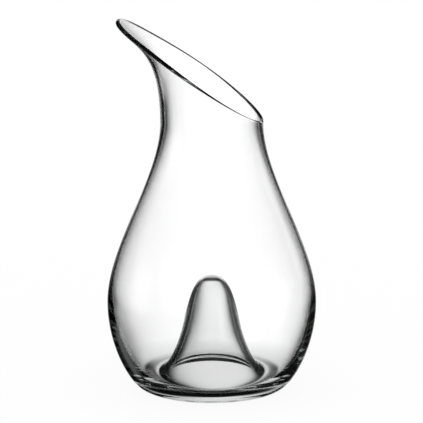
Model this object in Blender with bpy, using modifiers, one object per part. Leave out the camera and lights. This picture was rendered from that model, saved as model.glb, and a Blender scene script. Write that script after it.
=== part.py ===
# Clear glass decanter: a pear-shaped bowl, a waisted neck, a flared mouth cut on the slant
# and a hollow punt pushed up into the base for the thumb.
# Metres, +Z up. The axis of the glass is the Z axis, the foot stands on Z = 0 and the
# high pouring lip points to -X. The real decanter is one piece of glass: it is divided here
# into the six zones of its wall, which follow one outline and meet at narrow seams.
import bmesh
import bpy
from math import cos, pi, radians, sin, tan
from mathutils import Vector
from mathutils.geometry import interpolate_bezier

# Outer wall, from the table to the lip. A fall, rise, bend or reach is the length over which
# the curve keeps to its tangent below, above or beside that ring.
FOOT_RADIUS = 0.0405
FOOT_REACH = 0.0035
HEEL_RADIUS = 0.0500
HEEL_HEIGHT = 0.0016
HEEL_ANGLE = radians(30.0)
HEEL_BEND = 0.0028
HEEL_REACH = 0.0065
BOWL_RADIUS = 0.0702
BOWL_HEIGHT = 0.0578
BOWL_FALL = 0.0300
BOWL_RISE = 0.0373
WAIST_RADIUS = 0.0345
WAIST_HEIGHT = 0.1819
WAIST_FALL = 0.0375
WAIST_RISE = 0.0518
LIP_RADIUS = 0.0670
FLARE_ANGLE = radians(37.8)
FLARE_REACH = 0.0240

# Slanted mouth: how far above the waist its cut meets the axis, its slope there and its slight bow
MOUTH_RISE = 0.0259
MOUTH_TILT = radians(35.8)
MOUTH_BOW_RADIUS = 0.965

# Inner wall: thin at the shoulder, thick towards the base
LIP_WALL = 0.0032
NECK_WALL = 0.0027
INNER_WAIST_FALL = 0.0329
BOWL_WALL = 0.0025
INNER_BOWL_LIFT = 0.0042
INNER_BOWL_RISE = 0.0326
INNER_BOWL_FALL = 0.0260
BASE_THICKNESS = 0.0054
TROUGH_RADIUS = 0.0384
TROUGH_REACH = 0.0155

# Punt: its skin inside the bowl, its wall, and the flat ring that the glass stands on
PUNT_HEIGHT = 0.0761
PUNT_CROWN = 0.0107
FLANK_RADIUS = 0.0185
FLANK_HEIGHT = 0.0438
FLANK_ANGLE = radians(10.8)
FLANK_RISE = 0.0200
FLANK_FALL = 0.0184
PUNT_SPREAD = 0.0078
PUNT_WALL = 0.0033
CROWN_WALL = 0.0029
FOOT_WIDTH = 0.0030
CAVITY_SPREAD = 0.0075

# Seams between the zones; the one between bowl and shoulder is at the widest ring
SEAM = 0.0003
BASE_SEAM_RISE = 0.0096
NECK_SEAM_DROP = 0.0310
LIP_BAND = 0.0100

# Fineness of the turned and lofted surfaces
TURN_STEPS = 56
WALL_POINTS = 12
HEEL_POINTS = 4
PUNT_POINTS = 8
NECK_RINGS = 9
LIP_RINGS = 3
RIM_FACETS = 6

UP = Vector((0.0, 1.0))
OUT = Vector((1.0, 0.0))


def start_scene():
    for obj in list(bpy.data.objects):
        bpy.data.objects.remove(obj, do_unlink=True)
    collection = bpy.data.collections.new("decanter")
    bpy.context.scene.collection.children.link(collection)
    axis = bpy.data.objects.new("decanter_axis", None)
    collection.objects.link(axis)
    return collection, axis


def clear_glass(name):
    material = bpy.data.materials.new(name + "_glass")
    material.use_nodes = True
    shader = material.node_tree.nodes["Principled BSDF"]
    shader.inputs["Base Color"].default_value = (0.92, 0.95, 0.94, 1.0)
    shader.inputs["Roughness"].default_value = 0.02
    shader.inputs["Metallic"].default_value = 0.0
    shader.inputs["IOR"].default_value = 1.52
    shader.inputs["Transmission Weight"].default_value = 1.0
    return material


# Curves are lists of (radius, height) points that run from the bottom up
def smooth_run(start, start_handle, end_handle, end, count):
    return interpolate_bezier(start, start + start_handle, end + end_handle, end, count)


def joined(*runs):
    points = list(runs[0])
    for run in runs[1:]:
        points += run[1:]
    return points


def level_height(point):
    return point.y


def along(curve, index):
    low = min(int(index), len(curve) - 2)
    return curve[low].lerp(curve[low + 1], index - low)


# The place along a curve, as a fraction of its points, where a rising level reaches a value
def index_at(curve, level, value):
    value = min(max(value, level(curve[0])), level(curve[-1]))
    for index, (low, high) in enumerate(zip(curve, curve[1:])):
        below, above = level(low), level(high)
        if below <= value <= above:
            return index + (value - below) / (above - below)


def index_below(curve, index, distance):
    low = int(index)
    here = along(curve, index)
    while distance > (here - curve[low]).length:
        distance -= (here - curve[low]).length
        here = curve[low]
        index = low
        low -= 1
    return index - (index - low) * distance / (here - curve[low]).length


def between(curve, low, high):
    ends = [along(curve, index_at(curve, level_height, height)) for height in (low, high)]
    return [ends[0]] + [point for point in curve if low < point.y < high] + [ends[1]]


def flare_direction():
    return Vector((sin(FLARE_ANGLE), cos(FLARE_ANGLE)))


def mouth_height():
    return WAIST_HEIGHT + MOUTH_RISE


def mouth_drop(x):
    return x * tan(MOUTH_TILT) + x * x / (2 * MOUTH_BOW_RADIUS)


def lip_point():
    return Vector((LIP_RADIUS, mouth_height() - mouth_drop(-LIP_RADIUS)))


def outer_wall():
    foot = Vector((FOOT_RADIUS, 0.0))
    heel = Vector((HEEL_RADIUS, HEEL_HEIGHT))
    bowl = Vector((BOWL_RADIUS, BOWL_HEIGHT))
    waist = Vector((WAIST_RADIUS, WAIST_HEIGHT))
    onward = Vector((cos(HEEL_ANGLE), sin(HEEL_ANGLE)))
    flare = -flare_direction() * FLARE_REACH
    foot_run = smooth_run(foot, OUT * FOOT_REACH, -onward * HEEL_BEND, heel, HEEL_POINTS)
    side_points = WALL_POINTS - HEEL_POINTS + 1
    heel_run = smooth_run(heel, onward * HEEL_REACH, -UP * BOWL_FALL, bowl, side_points)
    shoulder_run = smooth_run(bowl, UP * BOWL_RISE, -UP * WAIST_FALL, waist, WALL_POINTS)
    flare_run = smooth_run(waist, UP * WAIST_RISE, flare, lip_point(), WALL_POINTS)
    return joined(foot_run, heel_run, shoulder_run, flare_run)


def inner_wall():
    trough = Vector((TROUGH_RADIUS, BASE_THICKNESS))
    bowl = Vector((BOWL_RADIUS - BOWL_WALL, BOWL_HEIGHT + INNER_BOWL_LIFT))
    waist = Vector((WAIST_RADIUS - NECK_WALL, WAIST_HEIGHT))
    lip = lip_point() + LIP_WALL * Vector((-cos(FLARE_ANGLE), sin(FLARE_ANGLE)))
    flare = -flare_direction() * FLARE_REACH
    trough_run = smooth_run(trough, OUT * TROUGH_REACH, -UP * INNER_BOWL_FALL, bowl, WALL_POINTS)
    shoulder_run = smooth_run(bowl, UP * INNER_BOWL_RISE, -UP * INNER_WAIST_FALL, waist, WALL_POINTS)
    flare_run = smooth_run(waist, UP * WAIST_RISE, flare, lip, WALL_POINTS)
    return joined(trough_run, shoulder_run, flare_run)


def middle_wall():
    return [(outside + inside) / 2 for outside, inside in zip(outer_wall(), inner_wall())]


def bell(foot, foot_spread, flank, crown):
    rise = Vector((-sin(FLANK_ANGLE), cos(FLANK_ANGLE)))
    spread_run = smooth_run(foot, -OUT * foot_spread, -rise * FLANK_FALL, flank, PUNT_POINTS)
    crown_run = smooth_run(flank, rise * FLANK_RISE, OUT * PUNT_CROWN, crown, PUNT_POINTS)
    return joined(spread_run, crown_run)


def punt_skin():
    trough = Vector((TROUGH_RADIUS, BASE_THICKNESS))
    flank = Vector((FLANK_RADIUS, FLANK_HEIGHT))
    return bell(trough, PUNT_SPREAD, flank, UP * PUNT_HEIGHT)


def cavity_skin():
    foot = Vector((FOOT_RADIUS - FOOT_WIDTH, 0.0))
    flank = Vector((FLANK_RADIUS, FLANK_HEIGHT))
    flank -= PUNT_WALL * Vector((cos(FLANK_ANGLE), sin(FLANK_ANGLE)))
    return bell(foot, CAVITY_SPREAD, flank, UP * (PUNT_HEIGHT - CROWN_WALL))


def glass_object(name, mesh, collection, axis):
    obj = bpy.data.objects.new(name, mesh)
    mesh.materials.append(clear_glass(name))
    obj.parent = axis
    collection.objects.link(obj)
    return obj


def turned(name, outline, closed, collection, axis):
    mesh = bpy.data.meshes.new(name)
    last = len(outline) - 1
    edges = [(index, index + 1) for index in range(last)]
    if closed:
        edges.append((last, 0))
    mesh.from_pydata([(radius, 0.0, height) for radius, height in outline], edges, [])
    screw = glass_object(name, mesh, collection, axis).modifiers.new("Turn", "SCREW")
    screw.axis = "Z"
    screw.steps = TURN_STEPS
    screw.render_steps = TURN_STEPS
    screw.use_merge_vertices = True
    screw.merge_threshold = 0.00001
    screw.use_smooth_shade = True


# Closed skin through rings of points, from each ring to the next and from the last to the first
def lofted(name, rings, collection, axis):
    mesh = bpy.data.meshes.new(name)
    skin = bmesh.new()
    loops = []
    for ring in rings:
        corners = [skin.verts.new(point) for point in ring]
        loops.append([skin.edges.new((corners[step - 1], corners[step])) for step in range(TURN_STEPS)])
    for index, loop in enumerate(loops):
        bmesh.ops.bridge_loops(skin, edges=loops[index - 1] + loop)
    bmesh.ops.recalc_face_normals(skin, faces=skin.faces)
    skin.to_mesh(mesh)
    skin.free()
    mesh.shade_smooth()
    mesh.set_sharp_from_angle(angle=radians(45))
    glass_object(name, mesh, collection, axis)


def make_base(seam_height, collection, axis):
    heel = between(outer_wall(), 0.0, seam_height)
    bowl_side = between(inner_wall(), BASE_THICKNESS, seam_height)
    punt_side = between(punt_skin(), BASE_THICKNESS, seam_height)
    cavity_side = between(cavity_skin(), 0.0, seam_height)
    outline = heel[::-1] + cavity_side + punt_side[::-1] + bowl_side[1:]
    turned("base", outline, True, collection, axis)


def make_punt(seam_height, collection, axis):
    skin = between(punt_skin(), seam_height + SEAM, PUNT_HEIGHT)
    cavity = between(cavity_skin(), seam_height + SEAM, PUNT_HEIGHT - CROWN_WALL)
    turned("punt", skin[::-1] + cavity, False, collection, axis)


def make_wall_zone(name, low_seam, high_seam, collection, axis):
    outside = between(outer_wall(), low_seam + SEAM, high_seam)
    inside = between(inner_wall(), low_seam + SEAM, high_seam)
    turned(name, outside[::-1] + inside, True, collection, axis)


def turn_angles():
    return [2 * pi * step / TURN_STEPS for step in range(TURN_STEPS)]


def swung(point, angle):
    return (point.x * cos(angle), point.x * sin(angle), point.y)


# The wall ends where its middle meets the slanted mouth, which differs all the way round
def mouth_index(angle):
    def mouth_level(point):
        return point.y + mouth_drop(point.x * cos(angle))
    return index_at(middle_wall(), mouth_level, mouth_height())


# Rings along one skin of the wall, evenly spread on every meridian from its start to its end
def skin_rings(curve, starts, ends, count):
    rings = []
    for ring in range(count + 1):
        share = ring / count
        spans = zip(turn_angles(), starts, ends)
        rings.append([swung(along(curve, low + (high - low) * share), angle) for angle, low, high in spans])
    return rings


def rim_rings(ends):
    rings = []
    for facet in range(1, RIM_FACETS):
        angle_over = pi * facet / RIM_FACETS
        ring = []
        for angle, end in zip(turn_angles(), ends):
            centre = along(middle_wall(), end)
            outward = along(outer_wall(), end) - centre
            onward = Vector((-outward.y, outward.x))
            ring.append(swung(centre + outward * cos(angle_over) + onward * sin(angle_over), angle))
        rings.append(ring)
    return rings


def make_neck(seam_height, mouth, collection, axis):
    rings = []
    ends = [index_below(middle_wall(), end, LIP_BAND + SEAM) for end in mouth]
    for curve in (outer_wall(), inner_wall()):
        starts = [index_at(curve, level_height, seam_height + SEAM)] * TURN_STEPS
        skin = skin_rings(curve, starts, ends, NECK_RINGS)
        rings += skin if not rings else skin[::-1]
    lofted("neck", rings, collection, axis)


def make_lip(mouth, collection, axis):
    starts = [index_below(middle_wall(), end, LIP_BAND) for end in mouth]
    outside = skin_rings(outer_wall(), starts, mouth, LIP_RINGS)
    inside = skin_rings(inner_wall(), starts, mouth, LIP_RINGS)
    lofted("lip", outside + rim_rings(mouth) + inside[::-1], collection, axis)


def build_decanter():
    collection, axis = start_scene()
    base_seam = BASE_THICKNESS + BASE_SEAM_RISE
    neck_seam = WAIST_HEIGHT - NECK_SEAM_DROP
    mouth = [mouth_index(angle) for angle in turn_angles()]
    make_base(base_seam, collection, axis)
    make_punt(base_seam, collection, axis)
    make_wall_zone("bowl", base_seam, BOWL_HEIGHT, collection, axis)
    make_wall_zone("shoulder", BOWL_HEIGHT, neck_seam, collection, axis)
    make_neck(neck_seam, mouth, collection, axis)
    make_lip(mouth, collection, axis)


build_decanter()
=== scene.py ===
# Clear glass decanter in bright-field studio light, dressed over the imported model
import bmesh
import bpy
from math import atan2, cos, pi, radians, sin, tan
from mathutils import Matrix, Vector
from mathutils.geometry import interpolate_bezier


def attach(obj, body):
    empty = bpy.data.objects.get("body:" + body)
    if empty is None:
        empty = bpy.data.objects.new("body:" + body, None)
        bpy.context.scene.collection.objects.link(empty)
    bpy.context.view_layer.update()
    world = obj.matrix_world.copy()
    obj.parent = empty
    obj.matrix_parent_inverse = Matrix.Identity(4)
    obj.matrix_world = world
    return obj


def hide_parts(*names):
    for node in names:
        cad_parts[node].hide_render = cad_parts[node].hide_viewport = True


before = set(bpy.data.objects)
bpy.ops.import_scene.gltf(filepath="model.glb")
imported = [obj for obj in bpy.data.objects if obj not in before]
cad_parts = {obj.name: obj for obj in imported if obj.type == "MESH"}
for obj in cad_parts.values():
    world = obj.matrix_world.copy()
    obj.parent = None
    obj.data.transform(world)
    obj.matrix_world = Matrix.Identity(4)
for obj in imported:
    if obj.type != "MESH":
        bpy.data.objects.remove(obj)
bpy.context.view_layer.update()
mm = 0.001
scene = bpy.context.scene
print("frame loaded:", sorted(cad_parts))


# sRGB hex to the linear colour that a socket takes
def hexColour(code):
    shares = [int(code[place:place + 2], 16) / 255 for place in (1, 3, 5)]
    return [s / 12.92 if s <= 0.04045 else ((s + 0.055) / 1.055) ** 2.4 for s in shares] + [1.0]


# inputs are (socket, value or another node's output) pairs
def addNode(tree, kind, inputs=(), **settings):
    node = tree.nodes.new(kind)
    for name, value in settings.items():
        setattr(node, name, value)
    for socket, value in inputs:
        if isinstance(value, bpy.types.NodeSocket):
            tree.links.new(value, node.inputs[socket])
        else:
            node.inputs[socket].default_value = value
    return node


# Camera: a long lens a little above the bowl, level with the photograph's view
photoView = {
    "elevation": 15.4,                  # degrees above the table
    "distance": 5.016,                  # m
    "lens": 637.0,                      # mm, on a 36 mm sensor
    "aim": (-0.0002, 0.0, 0.1204),      # m
}


def setCamera():
    lens = bpy.data.cameras.new("photoCamera")
    lens.lens = photoView["lens"]
    lens.sensor_width = 36.0
    camera = bpy.data.objects.new("photoCamera", lens)
    tilt = radians(photoView["elevation"])
    away = Vector((0.0, -cos(tilt), sin(tilt))) * photoView["distance"]
    camera.location = Vector(photoView["aim"]) + away
    camera.rotation_euler = (pi / 2 - tilt, 0.0, 0.0)
    scene.collection.objects.link(camera)
    scene.camera = camera


# The decanter's section in mm, from the table up. A pull is the length over which
# the curve keeps to its direction at that ring
decanter = {
    "footRadius": 40.5, "footPull": 3.5,
    "heelRadius": 50.0, "heelHeight": 1.6, "heelAngle": 30.0, "heelBend": 2.8, "heelPull": 6.5,
    "bowlRadius": 70.2, "bowlHeight": 57.8, "bowlPullDown": 30.0, "bowlPullUp": 37.3,
    "waistRadius": 34.5, "waistHeight": 181.9, "waistPullDown": 37.5, "waistPullUp": 51.8,
    "lipRadius": 67.0, "flareAngle": 37.8, "flarePull": 24.0,
    "mouthHeight": 207.8, "mouthTilt": 35.8, "mouthBowRadius": 965.0,
    "lipWall": 3.2, "neckWall": 2.7, "innerWaistPullDown": 32.9,
    "bowlWall": 2.5, "innerBowlHeight": 62.0, "innerBowlPullUp": 32.6, "innerBowlPullDown": 26.0,
    "baseThickness": 5.4, "troughRadius": 38.4, "troughPull": 15.5,
    "puntHeight": 76.1, "crownPull": 10.7,
    "flankRadius": 18.5, "flankHeight": 43.8, "flankAngle": 10.8,
    "flankPullUp": 20.0, "flankPullDown": 18.4, "puntSpread": 7.8,
    "puntWall": 3.3, "crownWall": 2.9, "footWidth": 3.0, "cavitySpread": 7.5,
    # how finely the mesh is divided, and how near two points are before they are welded
    "wallPoints": 38, "heelPoints": 11, "flarePoints": 36, "puntPoints": 30, "rimPoints": 14,
    "turnSteps": 264, "weld": 0.01,
}


def curveRun(start, startPull, endPull, end, count):
    return interpolate_bezier(start, start + startPull, end + endPull, end, count)


def pointOn(curve, place):
    low = min(int(place), len(curve) - 2)
    return curve[low].lerp(curve[low + 1], place - low)


def mouthDrop(x):
    return x * tan(radians(decanter["mouthTilt"])) + x * x / (2 * decanter["mouthBowRadius"])


def wallCurves():
    d, up, out = decanter, Vector((0.0, 1.0)), Vector((1.0, 0.0))
    lean = radians(d["flareAngle"])
    flare = Vector((sin(lean), cos(lean))) * d["flarePull"]
    count = d["wallPoints"]
    bend = radians(d["heelAngle"])
    onward = Vector((cos(bend), sin(bend)))
    foot = out * d["footRadius"]
    heel = Vector((d["heelRadius"], d["heelHeight"]))
    trough = Vector((d["troughRadius"], d["baseThickness"]))
    bowl = Vector((d["bowlRadius"], d["bowlHeight"]))
    innerBowl = Vector((d["bowlRadius"] - d["bowlWall"], d["innerBowlHeight"]))
    waist = Vector((d["waistRadius"], d["waistHeight"]))
    innerWaist = waist - out * d["neckWall"]
    lip = Vector((d["lipRadius"], d["mouthHeight"] - mouthDrop(-d["lipRadius"])))
    innerLip = lip + d["lipWall"] * Vector((-cos(lean), sin(lean)))
    outer = curveRun(foot, out * d["footPull"], -onward * d["heelBend"], heel, d["heelPoints"])
    sideCount = count - d["heelPoints"] + 1
    outer += curveRun(heel, onward * d["heelPull"], -up * d["bowlPullDown"], bowl, sideCount)[1:]
    outer += curveRun(bowl, up * d["bowlPullUp"], -up * d["waistPullDown"], waist, count)[1:]
    outer += curveRun(waist, up * d["waistPullUp"], -flare, lip, count)[1:]
    inner = curveRun(trough, out * d["troughPull"], -up * d["innerBowlPullDown"], innerBowl, count)
    inner += curveRun(innerBowl, up * d["innerBowlPullUp"], -up * d["innerWaistPullDown"],
                      innerWaist, count)[1:]
    inner += curveRun(innerWaist, up * d["waistPullUp"], -flare, innerLip, count)[1:]
    return outer, inner


# Bell curve of the punt or of the hollow under it, from its foot up to the axis
def bellCurve(foot, spread, flank, crownHeight, count):
    d, out = decanter, Vector((1.0, 0.0))
    lean = radians(d["flankAngle"])
    rise = Vector((-sin(lean), cos(lean)))
    crown = Vector((0.0, crownHeight))
    bell = curveRun(foot, -out * spread, -rise * d["flankPullDown"], flank, count)
    return bell + curveRun(flank, rise * d["flankPullUp"], out * d["crownPull"], crown, d["puntPoints"])[1:]


# Place on the wall: place counts the curve's points, turn goes from 0 on the outer skin
# over the round of the rim to pi on the inner skin
def wallPoint(outer, inner, place, turn):
    middle = (pointOn(outer, place) + pointOn(inner, place)) / 2
    half = pointOn(outer, place) - middle
    return middle + half * cos(turn) + Vector((-half.y, half.x)) * sin(turn)


# Where the middle of the wall meets the slanted mouth on one meridian
def mouthPlace(outer, inner, angle):
    levels = [(a + b) / 2 for a, b in zip(outer, inner)]
    levels = [p.y + mouthDrop(p.x * cos(angle)) - decanter["mouthHeight"] for p in levels]
    for place, (below, above) in enumerate(zip(levels, levels[1:])):
        if below <= 0 <= above:
            return place - below / (above - below)
    return len(levels) - 1


def makeDecanter():
    d = decanter
    outer, inner = wallCurves()
    waistPlace = 2 * (d["wallPoints"] - 1)
    lipPlace = len(outer) - 1
    lean = radians(d["flankAngle"])
    flank = Vector((d["flankRadius"], d["flankHeight"]))
    trough = Vector((d["troughRadius"], d["baseThickness"]))
    innerFoot = Vector((d["footRadius"] - d["footWidth"], 0.0))
    hollowFlank = flank - d["puntWall"] * Vector((cos(lean), sin(lean)))
    punt = bellCurve(trough, d["puntSpread"], flank, d["puntHeight"], d["flarePoints"])
    crownHeight = d["puntHeight"] - d["crownWall"]
    hollow = bellCurve(innerFoot, d["cavitySpread"], hollowFlank, crownHeight, d["puntPoints"])

    glass = bmesh.new()
    share = glass.verts.layers.float.new("share")   # 0 at the waist, 1 at the mouth
    turn = glass.verts.layers.float.new("turn")     # 0 outside, pi inside
    section = []

    def addPoint(point, shareUp=0.0, turnOver=0.0):
        section.append(glass.verts.new((point.x * mm, 0.0, point.y * mm)))
        section[-1][share] = shareUp
        section[-1][turn] = turnOver

    for point in hollow[::-1]:
        addPoint(point)
    addPoint((innerFoot + outer[0]) / 2)
    for place, point in enumerate(outer):
        addPoint(point, max(0.0, (place - waistPlace) / (lipPlace - waistPlace)), 0.0)
    for step in range(1, d["rimPoints"]):
        over = pi * step / d["rimPoints"]
        addPoint(wallPoint(outer, inner, lipPlace, over), 1.0, over)
    for place in range(lipPlace, 0, -1):
        addPoint(inner[place], max(0.0, (place - waistPlace) / (lipPlace - waistPlace)), pi)
    for point in punt:
        addPoint(point)
    edges = [glass.edges.new(pair) for pair in zip(section, section[1:])]
    bmesh.ops.spin(glass, geom=section + edges, axis=(0, 0, 1), cent=(0, 0, 0),
                   angle=2 * pi, steps=d["turnSteps"], use_merge=True)
    bmesh.ops.remove_doubles(glass, verts=glass.verts, dist=d["weld"] * mm)

    # the flare is drawn down to the slanted mouth along each meridian
    mouth = {}
    for vert in glass.verts:
        if vert[share] > 0:
            angle = atan2(vert.co.y, vert.co.x)
            step = round(angle / (2 * pi) * d["turnSteps"]) % d["turnSteps"]
            if step not in mouth:
                mouth[step] = mouthPlace(outer, inner, angle)
            place = waistPlace + (mouth[step] - waistPlace) * vert[share]
            point = wallPoint(outer, inner, place, vert[turn]) * mm
            vert.co = (point.x * cos(angle), point.x * sin(angle), point.y)
    bmesh.ops.recalc_face_normals(glass, faces=glass.faces)
    mesh = bpy.data.meshes.new("decanterGlass")
    glass.to_mesh(mesh)
    glass.free()
    mesh.shade_smooth()
    piece = bpy.data.objects.new("decanterGlass", mesh)
    scene.collection.objects.link(piece)
    print("decanter glass:", len(mesh.polygons), "faces")
    return piece


# Soda-lime glass, mouth blown and fire polished: colourless, with a breath of green-grey
# where the wall is thick
blownGlass = {
    "body": "#FFFFFF", "tint": "#C6CEC9", "density": 18.0,
    "ior": 1.52, "roughness": 0.0,
    "waveLength": 32.0, "waveHeight": 0.05,     # mm, the slow waviness of glass blown by mouth
}


def makeBlownGlass():
    material = bpy.data.materials.new("blownSodaLimeGlass")
    material.use_nodes = True
    tree = material.node_tree
    shader = tree.nodes["Principled BSDF"]
    shader.inputs["Base Color"].default_value = hexColour(blownGlass["body"])
    shader.inputs["Roughness"].default_value = blownGlass["roughness"]
    shader.inputs["IOR"].default_value = blownGlass["ior"]
    shader.inputs["Transmission Weight"].default_value = 1.0
    spot = addNode(tree, "ShaderNodeTexCoord").outputs["Object"]
    waves = addNode(tree, "ShaderNodeTexNoise", [
        ("Vector", spot), ("Scale", 1 / (blownGlass["waveLength"] * mm)), ("Detail", 1.0)])
    bump = addNode(tree, "ShaderNodeBump", [
        ("Height", waves.outputs["Fac"]), ("Strength", 1.0), ("Distance", blownGlass["waveHeight"] * mm)])
    tree.links.new(bump.outputs["Normal"], shader.inputs["Normal"])
    absorption = addNode(tree, "ShaderNodeVolumeAbsorption", [
        ("Color", hexColour(blownGlass["tint"])), ("Density", blownGlass["density"])])
    tree.links.new(absorption.outputs[0], tree.nodes["Material Output"].inputs["Volume"])
    return material


# Bright-field set: soft white panels with dark cards between them, which the glass gathers
# into its dark edges. In degrees, a bearing of 90 is straight behind the decanter as the
# photograph sees it. A panel is lit between the two middle heights and fades out to the others
lightSet = {
    "panels": [
        {"bearing": 89.5, "spread": 11.7, "heights": (-24, -14, 10, 22), "level": 1.24},     # behind
        {"bearing": 87.0, "spread": 11.2, "heights": (-56, -48, -24, -14), "level": 1.38},   # table behind
        {"bearing": 180.0, "spread": 15.0, "heights": (-20, -12, 6, 16), "level": 1.05},     # left side
        {"bearing": 315.0, "spread": 15.0, "heights": (-40, -30, 3, 14), "level": 1.10},     # front right
        {"bearing": 137.0, "spread": 11.0, "heights": (-42, -36, -23, -19), "level": 1.05},  # low, back left
        {"bearing": 30.0, "spread": 48.0, "heights": (-50, -40, 10, 30), "level": 0.04},     # room, right
        {"bearing": 270.0, "spread": 55.0, "heights": (-46, -36, 8, 40), "level": 0.30},     # room, front
        {"bearing": 90.0, "spread": 400.0, "heights": (40, 55, 91, 92), "level": 0.06},      # ceiling
    ],
    "card": 0.004,          # the dark between the panels
    "firm": 3.0,            # how suddenly a panel ends at its sides
    "mirrored": 0.5,        # share of the light that the glass gives back as reflections
}


def makeLightSet():
    s = lightSet
    world = bpy.data.worlds.new("brightField")
    world.use_nodes = True
    scene.world = world
    tree = world.node_tree
    tree.nodes.clear()
    look = addNode(tree, "ShaderNodeTexCoord").outputs["Generated"]
    rise = addNode(tree, "ShaderNodeSeparateXYZ", [(0, look)]).outputs["Z"]
    height = addNode(tree, "ShaderNodeMath", [(0, rise)], operation="ARCSINE").outputs[0]
    seen = s["card"]
    for panel in s["panels"]:
        turned = addNode(tree, "ShaderNodeVectorRotate", [
            ("Vector", look), ("Angle", -radians(panel["bearing"]))], rotation_type="Z_AXIS").outputs[0]
        flat = addNode(tree, "ShaderNodeSeparateXYZ", [(0, turned)]).outputs
        aside = addNode(tree, "ShaderNodeMath", [
            (0, flat["Y"]), (1, flat["X"])], operation="ARCTAN2").outputs[0]
        share = addNode(tree, "ShaderNodeMath", [
            (0, aside), (1, radians(panel["spread"]))], operation="DIVIDE").outputs[0]
        share = addNode(tree, "ShaderNodeMath", [(0, share)], operation="ABSOLUTE").outputs[0]
        share = addNode(tree, "ShaderNodeMath", [(0, share), (1, s["firm"])], operation="POWER").outputs[0]
        share = addNode(tree, "ShaderNodeMath", [(0, share), (1, -1.0)], operation="MULTIPLY").outputs[0]
        lit = addNode(tree, "ShaderNodeMath", [(0, share)], operation="EXPONENT").outputs[0]
        lowDark, lowLit, highLit, highDark = panel["heights"]
        for dark, bright in ((lowDark, lowLit), (highDark, highLit)):
            edge = addNode(tree, "ShaderNodeMapRange", [
                ("Value", height), ("From Min", radians(dark)), ("From Max", radians(bright))]).outputs[0]
            lit = addNode(tree, "ShaderNodeMath", [(0, lit), (1, edge)], operation="MULTIPLY").outputs[0]
        seen = addNode(tree, "ShaderNodeMath", [
            (0, lit), (1, panel["level"]), (2, seen)], operation="MULTIPLY_ADD").outputs[0]
    mirrored = addNode(tree, "ShaderNodeMath", [
        (0, seen), (1, s["mirrored"])], operation="MULTIPLY").outputs[0]
    rays = addNode(tree, "ShaderNodeLightPath").outputs
    level = addNode(tree, "ShaderNodeMix", [
        (0, rays["Is Glossy Ray"]), (2, 1.0), (3, mirrored)]).outputs[0]
    level = addNode(tree, "ShaderNodeMix", [
        (0, rays["Is Transmission Ray"]), (2, level), (3, seen)]).outputs[0]
    background = addNode(tree, "ShaderNodeBackground", [
        ("Color", hexColour("#FFFFFF")), ("Strength", level)])
    output = addNode(tree, "ShaderNodeOutputWorld")
    tree.links.new(background.outputs[0], output.inputs["Surface"])
    print("light set:", len(s["panels"]), "panels")


# Pale sweep under the decanter: white to the camera, with the glass's own soft shadow. Seen through the
# glass it turns clear with a painted shadow, greyer near the foot
sweep = {
    "radius": 6.0, "drop": 0.3, "sides": 96,                # m, mm
    "paper": "#FBFBFB", "shadowShare": 0.07,
    "fadeFrom": 0.25, "fadeTo": 0.7,                        # m, where the shadow ends
    # painted shadow seen through the glass: how much of the light comes through under the foot, beside it
    # and out on the table, darker near the foot in place of the glass's own shadow
    "paintedShadowGreys": ((0.04, 0.68), (0.083, 0.92), (0.60, 1.0)),
}


def makeSweep():
    paper = bmesh.new()
    bmesh.ops.create_circle(paper, cap_ends=True, segments=sweep["sides"], radius=sweep["radius"])
    bmesh.ops.translate(paper, vec=(0, 0, -sweep["drop"] * mm), verts=paper.verts)
    mesh = bpy.data.meshes.new("paleSweep")
    paper.to_mesh(mesh)
    paper.free()
    floor = bpy.data.objects.new("paleSweep", mesh)
    scene.collection.objects.link(floor)
    material = bpy.data.materials.new("whitePaperSweep")
    material.use_nodes = True
    tree = material.node_tree
    tree.nodes.clear()
    spot = addNode(tree, "ShaderNodeTexCoord").outputs["Object"]
    distance = addNode(tree, "ShaderNodeVectorMath", [(0, spot)], operation="LENGTH").outputs["Value"]
    share = addNode(tree, "ShaderNodeMapRange", [
        ("Value", distance), ("From Min", sweep["fadeFrom"]), ("From Max", sweep["fadeTo"]),
        ("To Min", sweep["shadowShare"]), ("To Max", 0.0)], interpolation_type="SMOOTHSTEP").outputs[0]
    glow = addNode(tree, "ShaderNodeEmission", [("Color", hexColour("#FFFFFF")), ("Strength", 1.0)])
    matt = addNode(tree, "ShaderNodeBsdfDiffuse", [("Color", hexColour(sweep["paper"]))])
    shaded = addNode(tree, "ShaderNodeMixShader", [
        (0, share), (1, glow.outputs[0]), (2, matt.outputs[0])])
    rays = addNode(tree, "ShaderNodeLightPath").outputs
    behind = addNode(tree, "ShaderNodeMath", [
        (0, rays["Is Transmission Ray"]), (1, rays["Is Glossy Ray"])], operation="MAXIMUM").outputs[0]
    # painted shadow for rays through the glass: the sweep turns clear behind a grey filter that darkens
    # towards the foot
    ramp = addNode(tree, "ShaderNodeValToRGB", [("Fac", distance)])
    while len(ramp.color_ramp.elements) < len(sweep["paintedShadowGreys"]):
        ramp.color_ramp.elements.new(1.0)
    for stop, (place, grey) in zip(ramp.color_ramp.elements, sweep["paintedShadowGreys"]):
        stop.position = place
        stop.color = (grey, grey, grey, 1.0)
    clear = addNode(tree, "ShaderNodeBsdfTransparent", [("Color", ramp.outputs["Color"])])
    mixed = addNode(tree, "ShaderNodeMixShader", [
        (0, behind), (1, shaded.outputs[0]), (2, clear.outputs[0])])
    output = addNode(tree, "ShaderNodeOutputMaterial")
    tree.links.new(mixed.outputs[0], output.inputs["Surface"])
    mesh.materials.append(material)
    print("sweep laid under the foot")


setCamera()
glassPiece = makeDecanter()
glassPiece.data.materials.append(makeBlownGlass())
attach(glassPiece, "root")
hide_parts("base", "punt", "bowl", "shoulder", "neck", "lip")
makeLightSet()
makeSweep()

scene.view_settings.view_transform = "Standard"
# a ray passes many skins of glass before it may be dropped
lightPaths = {
    "max_bounces": 64, "transmission_bounces": 64, "glossy_bounces": 48,
    "min_light_bounces": 24, "min_transparent_bounces": 24,
}
for name, count in lightPaths.items():
    setattr(scene.cycles, name, count)
